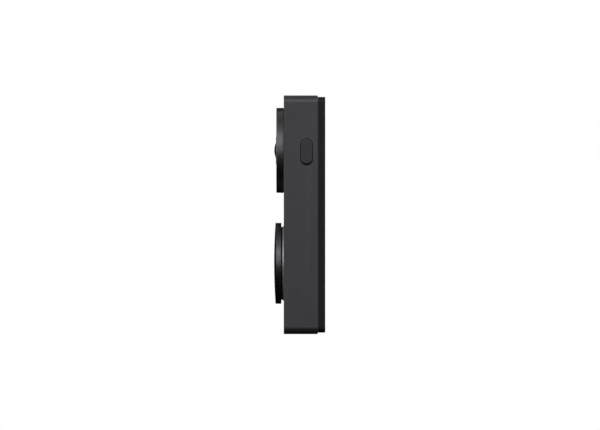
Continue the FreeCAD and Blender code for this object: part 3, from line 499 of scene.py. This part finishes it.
def dress_cad_nodes():
    """Materials and smooth shading for the CAD pieces that are shown as they are."""
    for node, material in CAD_MATERIALS.items():
        piece = NODES[node]
        piece.data.materials.clear()
        piece.data.materials.append(material)
        smooth(piece, CAD_CREASE)


# The case

def case_loop(inset, depth):
    """The case's outline at a depth, drawn in by an inset."""
    corner = max(CASE_CORNER - inset, 0.6)
    return (rounded_loop(CASE_WIDE - inset * 2, CASE_TALL - inset * 2, corner), depth)


def inner_loops():
    """The case's inside, from the front wall back to the rebate for its cover and its thin lip."""
    wall, rebate, lip = 2.6, 1.6, 0.95
    ledge = CASE_REAR + 2.3
    lip_rear = PLATE_FRONT + 0.01
    return [case_loop(inset, depth) for inset, depth in (
        (wall, INNER_FRONT), (wall, ledge), (rebate, ledge), (rebate, lip_rear),
        (lip, lip_rear), (lip, CASE_REAR))]


def outer_loops():
    """The case's outside, from its rounded rear edge to its crisp front edge."""
    rear_round, front_round = 0.7, 0.22
    loops = []
    for i in range(7):
        turn = math.radians(15 * i)
        loops.append(case_loop(rear_round - rear_round * math.sin(turn),
                               CASE_REAR + rear_round - rear_round * math.cos(turn)))
    for quarter in (1, 2, 3):
        loops.append(case_loop(0.0, CASE_REAR + (CASE_FRONT - CASE_REAR) * quarter / 4))
    for i in range(5):
        turn = math.radians(22.5 * i)
        loops.append(case_loop(front_round - front_round * math.cos(turn),
                               CASE_FRONT - front_round + front_round * math.sin(turn)))
    return loops


def front_cutters():
    """The openings behind the camera disc and the button, and the microphone's hole."""
    behind, before = INNER_FRONT - 1, CASE_FRONT + 1
    cutters = [lathe("opening", [(0.0, behind), (radius, behind), (radius, before), (0.0, before)],
                     height, 160)
               for radius, height in ((21.3, CAMERA_Z), (RING_RADIUS + 0.1, BUTTON_Z))]
    bore, mouth = 0.6, 0.85
    cutters.append(lathe("mic_hole", [
        (0.0, behind), (bore, behind), (bore, CASE_FRONT - 0.2), (mouth, CASE_FRONT + 0.05),
        (mouth, before), (0.0, before)], MIC_Z, 40))
    return cutters


def key_cutter():
    """The side key's slot, very slightly flared."""
    side = CASE_WIDE / 2
    flare = 0.05
    levels = [(0.0, side - 4), (0.0, side - flare)]
    levels += [(flare - flare * math.cos(turn), side - flare + flare * math.sin(turn))
               for turn in [math.radians(angle) for angle in (20, 45, 70)]]
    levels += [(flare, side + 0.001), (flare, side + 1)]
    wide = KEY_WIDE + KEY_GAP * 2
    tall = KEY_TALL + KEY_GAP_ABOVE + KEY_GAP_BELOW
    middle = KEY_Z - (KEY_GAP_BELOW - KEY_GAP_ABOVE) / 2
    return loft("key_slot", [(pill_loop(wide + 2 * g, tall + 2 * g), x) for g, x in levels],
                lambda u, v, x: (x, KEY_Y + u, middle + v))


def bottom_cutters():
    """The speaker's slots and the hole for the pin that frees the latch."""
    bottom = -CASE_TALL / 2
    wide, long, pin_radius, chamfer = 1.3, 4.2, 1.0, 0.2
    levels = ((chamfer, bottom - 1), (chamfer, bottom), (0.0, bottom + chamfer), (0.0, bottom + 4))
    slot = [(pill_loop(wide + 2 * g, long + 2 * g, 8), z) for g, z in levels]
    hole = [(arc((0.0, 0.0), pin_radius + g, 0, 345, 23), z) for g, z in levels]
    cutters = [loft("speaker_slot", slot, lambda u, v, z, at=x: (at + u, v - SPEAKER_DEPTH, z))
               for x in SPEAKER_SLOTS]
    cutters.append(loft("release_hole", hole, lambda u, v, z: (u, v - LATCH_DEPTH, z)))
    return cutters


def build_case():
    """The housing: a shell open at the rear, cut for the camera, button, key and sound."""
    piece = loft("case_shell", inner_loops() + outer_loops(), facing_front)
    cut_out(piece, [*front_cutters(), key_cutter(), *bottom_cutters()])
    dress(piece, case_plastic, "case", "front_case")


def build_key():
    """The side key: a long pill with a softly rounded edge, and a flange that keeps it in."""
    out, flange = KEY_HIGH.x, KEY_LOW.x
    flange_front = flange + 0.7
    edge = 1.0
    levels = [(KEY_FLANGE, flange), (KEY_FLANGE, flange_front), (0.0, flange_front),
              (0.0, out - edge)]
    levels += [(edge * math.cos(turn) - edge, out - edge + edge * math.sin(turn))
               for turn in [math.radians(15 * i) for i in range(1, 7)]]
    piece = loft("side_key_cap", [(pill_loop(KEY_WIDE + 2 * g, KEY_TALL + 2 * g), x)
                                  for g, x in levels],
                 lambda u, v, x: (x, KEY_Y + u, KEY_Z + v))
    dress(piece, key_plastic, "side_key", "side_key")


# The camera disc

def build_bezel():
    """The rim of the camera disc, slightly tapered, with a soft front edge."""
    edge, taper = 0.35, 0.15
    seat, seat_rear, spigot = WINDOW_RADIUS + 0.1, CASE_FRONT - 1.8, 21.2
    profile = [(BEZEL_BORE, seat_rear), (spigot, seat_rear), (spigot, CASE_FRONT + 0.2),
               (BEZEL_RADIUS - 0.05, CASE_FRONT + 0.2), (BEZEL_RADIUS, CASE_FRONT + 0.25)]
    profile += arc((BEZEL_RADIUS - taper - edge, DISC_FRONT - edge), edge, 0, 90, 8)
    profile += [(seat + 0.2, DISC_FRONT), (seat, DISC_FRONT - 0.2), (seat, WINDOW_REAR),
                (BEZEL_BORE, WINDOW_REAR)]
    dress(lathe("bezel_rim", profile, CAMERA_Z, 320), rim_metal, "case", "camera_bezel")


def pir_loft(name, wide, tall, levels):
    """A pill about the motion sensor's centre, through levels of (growth, depth)."""
    return loft(name, [(pill_loop(wide + 2 * g, tall + 2 * g), depth) for g, depth in levels],
                lambda u, v, depth: (u, -depth, PIR_Z + v))


def build_window():
    """The dark window over the camera, its lamps and its sensors."""
    bore, chamfer, slot_chamfer = TRIM_RADIUS + 0.05, 0.2, 0.15
    piece = lathe("dark_window", [
        (bore, WINDOW_REAR), (WINDOW_RADIUS, WINDOW_REAR), (WINDOW_RADIUS, WINDOW_FRONT - chamfer),
        (WINDOW_RADIUS - chamfer, WINDOW_FRONT), (bore + chamfer, WINDOW_FRONT),
        (bore, WINDOW_FRONT - chamfer)], CAMERA_Z, 320)
    levels = ((0.0, WINDOW_REAR - 1), (0.0, WINDOW_FRONT - slot_chamfer),
              (slot_chamfer, WINDOW_FRONT), (slot_chamfer, WINDOW_FRONT + 1))
    cut_out(piece, [pir_loft("pir_slot", PIR_WIDE, PIR_TALL, levels)])
    dress(piece, dark_window, "case", "camera_window")


def stepped_plastic():
    """The satin plastic of the motion sensor's lens, with its fine moulded steps."""
    shader = Shader("pir_plastic", (0.03, 0.03, 0.032), 0.4)
    steps = shader.tree.nodes.new("ShaderNodeTexWave")
    steps.wave_profile = "SAW"
    steps.bands_direction = "X"
    steps.inputs["Scale"].default_value = 110.0
    shader.link(shader.coords, steps.inputs["Vector"])
    shader.vary_color(shader.noise(200.0), 0.08)
    shader.vary_roughness(shader.noise(500.0), 0.05)
    shader.bump(steps.outputs["Fac"], 0.6, 0.08)
    return shader.material


def build_pir_lens():
    """The motion sensor's lens: a pill that fills its slot in the window."""
    gap = 0.05
    levels = ((0.0, WINDOW_REAR), (0.0, WINDOW_FRONT - 0.2), (-0.06, WINDOW_FRONT - 0.06),
              (-0.2, WINDOW_FRONT))
    piece = pir_loft("pir_cover", PIR_WIDE - 2 * gap, PIR_TALL - 2 * gap, levels)
    dress(piece, stepped_plastic(), "case", "pir_lens")


def build_lens_trim():
    """The raised satin ring round the lens."""
    bore, edge = DOME_RADIUS + 0.05, 0.2
    profile = [(bore, WINDOW_REAR), (TRIM_RADIUS, WINDOW_REAR), (TRIM_RADIUS, TRIM_FRONT - edge)]
    profile += arc((TRIM_RADIUS - edge, TRIM_FRONT - edge), edge, 0, 90, 6)
    profile += [(bore + 0.6, TRIM_FRONT), (bore + 0.3, TRIM_FRONT - 0.08),
                (bore, TRIM_FRONT - 0.4)]
    dress(lathe("lens_trim_ring", profile, CAMERA_Z, 200), trim_metal, "case", "lens_trim")


def build_lens_dome():
    """The smoked glass dome, hollowed behind."""
    rear = WINDOW_REAR + 0.4
    profile = [(0.0, rear + 0.8), (2.0, rear + 0.55), (3.4, rear), (DOME_RADIUS, rear)]
    profile += cap(DOME_RADIUS, DOME_SAG, LENS_PEAK, 24)
    dress(lathe("lens_front_glass", profile, CAMERA_Z, 160), smoked_glass, "case", "lens_dome")


def build_lens_barrel():
    """The barrel, with steps inside that narrow towards the lens elements."""
    front, rear, step_back, mouth = WINDOW_REAR - 0.3, 14.6, 23.9, 4.3
    profile = [(6.0, rear), (6.0, step_back), (7.0, step_back), (7.0, front), (mouth, front)]
    narrowing, drop = 0.28, 0.35
    for step in range(7):
        level = front - 0.25 - drop * step
        radius = mouth - narrowing * step
        profile += [(radius, level), (radius - narrowing, level)]
    stop, stop_front, stop_rear, bore = mouth - 7 * narrowing, 23.2, 22.0, 4.4
    profile += [(stop, stop_front), (stop, stop_rear), (bore, stop_rear), (bore, rear)]
    dress(lathe("lens_barrel_rings", profile, CAMERA_Z, 120), inner_plastic, "case", "lens_barrel")


def coated_glass():
    """Dark glass with a violet coating."""
    shader = Shader("coated_element", (0.02, 0.012, 0.035), 0.03)
    shader.vary_color(shader.noise(300.0), 0.2)
    shader.vary_roughness(shader.noise(500.0), 0.01)
    shader.set("Coat Weight", 1.0)
    shader.set("Coat Tint", (0.55, 0.35, 1.0, 1.0))
    return shader.material


def build_front_element():
    """The coated element that is seen at the bottom of the barrel."""
    rear, radius, sphere, centre = 22.9, 2.3, 4.0, 20.2
    profile = [(0.0, rear), (radius, rear)]
    turns = [math.radians(35 * (1 - i / 12)) for i in range(13)]
    profile += [(sphere * math.sin(turn), centre + sphere * math.cos(turn)) for turn in turns]
    piece = lathe("coated_front_element", profile, CAMERA_Z, 96)
    dress(piece, coated_glass(), "case")


# The bell button

def build_light_ring():
    """The pale frosted ring behind the button."""
    flange, flange_rear = 23.0, INNER_FRONT - 1.4
    profile = [(RING_BORE, flange_rear), (flange, flange_rear), (flange, INNER_FRONT),
               (RING_RADIUS, INNER_FRONT), (RING_RADIUS, RING_FRONT - 0.2)]
    profile += arc((RING_RADIUS - 0.1, RING_FRONT - 0.1), 0.1, 0, 90, 4)
    profile += [(RING_BORE + 0.2, RING_FRONT), (RING_BORE, RING_FRONT - 0.2)]
    dress(lathe("light_ring_guide", profile, BUTTON_Z, 280), ring_frosted, "case", "light_ring")


def build_ring_lip():
    """The ring's tongue, which closes the gap behind the button, coloured black as painted shade
    for the shadow in that gap.
    """
    rear, edge = RING_FRONT - 0.1, 0.1
    profile = [(TONGUE_INNER, rear), (TONGUE_OUTER, rear), (TONGUE_OUTER, TONGUE_FRONT - edge),
               (TONGUE_OUTER - edge, TONGUE_FRONT), (TONGUE_INNER + edge, TONGUE_FRONT),
               (TONGUE_INNER, TONGUE_FRONT - edge)]
    piece = lathe("light_ring_lip", profile, BUTTON_Z, 280)
    dress(piece, painted_shade_black, "case")


def build_button_rim():
    """The button's satin rim, with its skirt, the groove for the tongue and a recess in front."""
    skirt_inner, skirt_outer, skirt_rear = 17.3, 19.3, CASE_FRONT - 3.6
    groove_inner, groove_outer = TONGUE_INNER - 0.3, TONGUE_OUTER + 0.3
    groove_front = TONGUE_FRONT + 0.6
    edge_radius = BUTTON_RADIUS - BUTTON_EDGE
    profile = [(0.0, BUTTON_REAR), (skirt_inner, BUTTON_REAR), (skirt_inner, skirt_rear),
               (skirt_outer, skirt_rear), (skirt_outer, BUTTON_REAR),
               (groove_inner, BUTTON_REAR), (groove_inner, groove_front),
               (groove_outer, groove_front), (groove_outer, BUTTON_REAR),
               (BUTTON_RADIUS - 0.25, BUTTON_REAR)]
    profile += arc((BUTTON_RADIUS - 0.25, BUTTON_REAR + 0.25), 0.25, -90, 0, 5)
    profile += [(BUTTON_RADIUS, RIM_SHOULDER), (edge_radius, RIM_SHOULDER),
                (edge_radius, RIM_EDGE), (BUTTON_RECESS + 0.1, RIM_EDGE),
                (BUTTON_RECESS, RIM_EDGE - 0.1), (BUTTON_RECESS, BUTTON_FLOOR),
                (0.0, BUTTON_FLOOR)]
    dress(lathe("button_rim_metal", profile, BUTTON_Z, 320), rim_metal, "bell_button",
          "button_rim")


def build_button_edge():
    """The rim's front corner, coloured near-black as painted shade: it stays dark though the front
    lamps light it.
    """
    radius = BUTTON_RADIUS - BUTTON_EDGE
    profile = [(radius, RIM_EDGE), (radius, RIM_SHOULDER), (BUTTON_RADIUS, RIM_SHOULDER)]
    profile += arc((radius, RIM_EDGE - BUTTON_EDGE), BUTTON_EDGE, 6, 90, 8)[:-1]
    piece = lathe("button_rim_edge", profile, BUTTON_Z, 320)
    dress(piece, painted_shade_black, "bell_button")


def build_button_face():
    """The domed black face in the rim."""
    radius = BUTTON_RECESS - 0.06
    profile = [(0.0, BUTTON_FLOOR), (radius, BUTTON_FLOOR), (radius, RIM_EDGE - 0.12)]
    profile += cap(radius, FACE_PEAK - RIM_EDGE, FACE_PEAK, 40)
    dress(lathe("button_dome", profile, BUTTON_Z, 320), black_gloss, "bell_button", "button_face")


# The studio

CAMERA_DISTANCE = 6.0
SENSOR_WIDTH = 36.0
VIEW_WIDTH = 346.68
VIEW_DEPTH = 14.6
VIEW_Z = -0.13
OBJECT_CENTRE = Vector((0, -0.014, 0))
WORLD_LIGHT = 0.006


def add_camera():
    """A long lens square to the +X side, whose view is a set width at the case's near side."""
    camera = bpy.data.cameras.new("camera")
    camera.sensor_width = SENSOR_WIDTH
    camera.lens = SENSOR_WIDTH * CAMERA_DISTANCE / (VIEW_WIDTH * MM)
    camera.clip_end = 50.0
    holder = bpy.data.objects.new("camera", camera)
    holder.location = (CASE_WIDE / 2 * MM + CAMERA_DISTANCE, -VIEW_DEPTH * MM, VIEW_Z * MM)
    holder.rotation_euler = (math.radians(90), 0.0, math.radians(90))
    bpy.context.scene.collection.objects.link(holder)
    bpy.context.scene.camera = holder


def area_light(name, azimuth, elevation, distance, wide, tall, power):
    """A soft box that looks at the object. Azimuth 0 is in front, and 90 on the +X side.

    Distances and sizes are in metres, and the power is in watts.
    """
    light = bpy.data.lights.new(name, "AREA")
    light.shape = "RECTANGLE"
    light.size = wide
    light.size_y = tall
    light.energy = power
    holder = bpy.data.objects.new(name, light)
    turn, rise = math.radians(azimuth), math.radians(elevation)
    direction = Vector((math.sin(turn) * math.cos(rise), -math.cos(turn) * math.cos(rise),
                        math.sin(rise)))
    holder.location = direction * distance + OBJECT_CENTRE
    holder.rotation_euler = direction.to_track_quat("Z", "Y").to_euler()
    holder.visible_camera = False
    bpy.context.scene.collection.objects.link(holder)
    return holder


def add_lights():
    """Soft boxes all round, but for a low gap from azimuth 270 to 318.

    The edges of the glossy domes reflect that gap to the camera, so they look black. The two
    fills don't show in gloss.
    """
    area_light("side_softbox", 90, 23, 2.2, 2.2, 2.05, 10.8)
    area_light("upper_softbox", 90, 45, 2.0, 2.0, 2.4, 5.8)
    area_light("front_softbox", 2, 24, 2.2, 1.1, 1.5, 3.6)
    for azimuth, wide in ((-27, 1.2), (35, 1.8), (145, 1.8), (215, 1.8)):
        area_light(f"corner_softbox_{azimuth % 360}", azimuth, 12, 2.2, wide, 3.3, 7.4 * wide)
    area_light("rear_softbox", 180, 32, 2.2, 1.6, 2.0, 8.0)
    area_light("far_softbox", 270, 60, 1.8, 1.6, 0.7, 1.4)
    area_light("top_softbox", 0, 88, 1.6, 1.2, 1.2, 1.0)
    for azimuth in (60, 120):
        area_light(f"low_softbox_{azimuth}", azimuth, -17, 2.2, 0.9, 0.9, 1.5)
    for azimuth, power in ((0, 18.0), (270, 32.0)):
        fill = area_light(f"fill_{azimuth}", azimuth, 20, 2.2, 1.6, 1.6, power)
        fill.visible_glossy = False


def add_world():
    """A white backdrop to the camera, and a dim even light to everything else."""
    world = bpy.data.worlds.new("studio")
    world.use_nodes = True
    tree = world.node_tree
    background = tree.nodes["Background"]
    path = tree.nodes.new("ShaderNodeLightPath")
    strength = tree.nodes.new("ShaderNodeMapRange")
    strength.inputs["To Min"].default_value = WORLD_LIGHT
    strength.inputs["To Max"].default_value = 1.0
    tree.links.new(path.outputs["Is Camera Ray"], strength.inputs["Value"])
    tree.links.new(strength.outputs["Result"], background.inputs["Strength"])
    background.inputs["Color"].default_value = (1.0, 1.0, 1.0, 1.0)
    bpy.context.scene.world = world


def add_floor():
    """A plain pale floor below the object, out of the side view."""
    half = 0.9
    level = -0.15
    mesh = bpy.data.meshes.new("floor")
    mesh.from_pydata([(-half, -half, level), (half, -half, level), (half, half, level),
                      (-half, half, level)], [], [(0, 1, 2, 3)])
    floor = bpy.data.objects.new("floor", mesh)
    bpy.context.scene.collection.objects.link(floor)
    mesh.materials.append(painted_floor())
    floor.visible_diffuse = False
    floor.visible_glossy = False


dress_cad_nodes()
build_case()
build_key()
build_bezel()
build_window()
build_pir_lens()
build_lens_trim()
build_lens_dome()
build_lens_barrel()
build_front_element()
build_light_ring()
build_ring_lip()
build_button_rim()
build_button_edge()
build_button_face()
add_camera()
add_world()
add_floor()
add_lights()
bpy.context.scene.view_settings.view_transform = "Standard"
bpy.context.scene.view_settings.look = "None"
